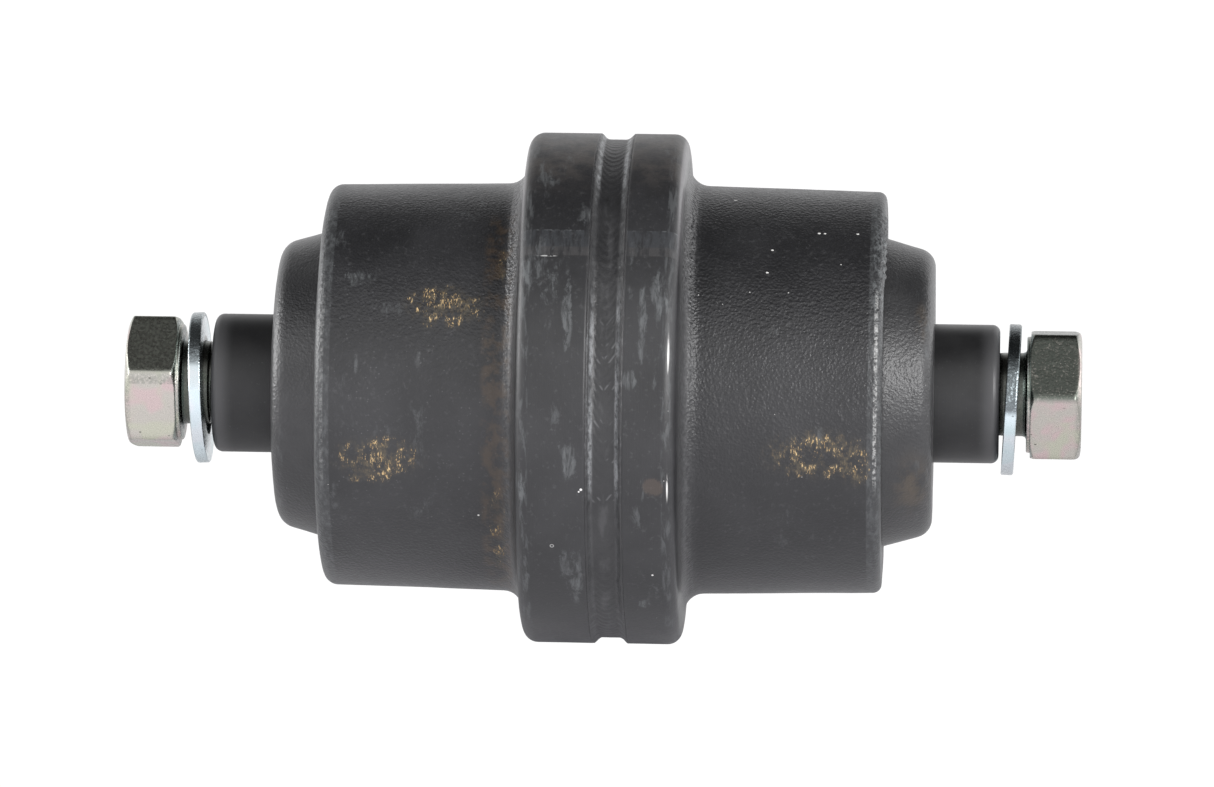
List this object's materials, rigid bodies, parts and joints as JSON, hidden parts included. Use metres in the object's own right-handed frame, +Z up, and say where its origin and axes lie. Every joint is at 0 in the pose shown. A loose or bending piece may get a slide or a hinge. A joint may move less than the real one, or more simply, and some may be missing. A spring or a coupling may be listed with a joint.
{
  "type": "track roller",
  "caption": "Bottom track roller with a centre flange between two treads, turning on a fixed shaft with sealed end collars; a bolt and washer at each shaft end.",
  "frame": {"origin": "on the shaft's axis, in the middle of the flange", "axes": "+X along the shaft to the end with the oil plug; +Z up; -Y towards the viewer, away from the collar pins"},
  "size_m": [0.1832, 0.098, 0.098],
  "materials": {
    "shell_paint": "satin black paint over a forged skin",
    "weld_paint": "satin black paint over weld metal",
    "collar_paint": "satin black paint over a forged skin",
    "shaft_steel": "smooth satin black on a turned shaft",
    "bushing_bronze": "bimetal bushing, bronze running layer",
    "seal_iron": "lapped hard iron",
    "seal_rubber": "oil-resistant rubber",
    "pin_steel": "ground steel",
    "bolt_zinc": "clear zinc plating",
    "washer_zinc": "bright zinc plating"
  },
  "bodies": {
    "shaft_assembly": {"shaft": "shaft_steel", "end_collar_left": "collar_paint", "end_collar_right": "collar_paint", "collar_pin_left": "pin_steel", "collar_pin_right": "pin_steel", "collar_o_ring_left": "seal_rubber", "collar_o_ring_right": "seal_rubber", "fixed_seal_ring_left": "seal_iron", "fixed_seal_ring_right": "seal_iron", "fixed_toric_left": "seal_rubber", "fixed_toric_right": "seal_rubber", "oil_plug": "pin_steel"},
    "roller": {"roller_shell_left": "shell_paint", "roller_shell_right": "shell_paint", "centre_weld_bead": "weld_paint", "bushing_left": "bushing_bronze", "bushing_right": "bushing_bronze", "rotating_seal_ring_left": "seal_iron", "rotating_seal_ring_right": "seal_iron", "rotating_toric_left": "seal_rubber", "rotating_toric_right": "seal_rubber"},
    "loose_washer_left": {"plain_washer_left": "washer_zinc"},
    "loose_washer_right": {"plain_washer_right": "washer_zinc"},
    "bolt_left": {"hex_bolt_left": "bolt_zinc"},
    "bolt_right": {"hex_bolt_right": "bolt_zinc"}
  },
  "joints": [
    {"name": "roller_spin", "type": "hinge", "parent": "shaft_assembly", "child": "roller", "pos_m": [0, 0, 0], "axis": [1, 0, 0], "continuous": true},
    {"name": "bolt_left_travel", "type": "slide", "parent": "shaft_assembly", "child": "loose_washer_left", "axis": [-1, 0, 0], "range_m": [-0.0009, 0.036]},
    {"name": "bolt_left_turn", "type": "hinge", "parent": "loose_washer_left", "child": "bolt_left", "pos_m": [-0.0816, 0, 0], "axis": [-1, 0, 0], "range_deg": [-165, 6485]},
    {"name": "bolt_right_travel", "type": "slide", "parent": "shaft_assembly", "child": "loose_washer_right", "axis": [1, 0, 0], "range_m": [-0.0003, 0.036]},
    {"name": "bolt_right_turn", "type": "hinge", "parent": "loose_washer_right", "child": "bolt_right", "pos_m": [0.0806, 0, 0], "axis": [1, 0, 0], "range_deg": [-57, 6485]}
  ],
  "couplings": [
    {"joint": "bolt_left_turn", "follows": "bolt_left_travel", "rad_per_m": 3141.6},
    {"joint": "bolt_right_turn", "follows": "bolt_right_travel", "rad_per_m": 3141.6}
  ]
}
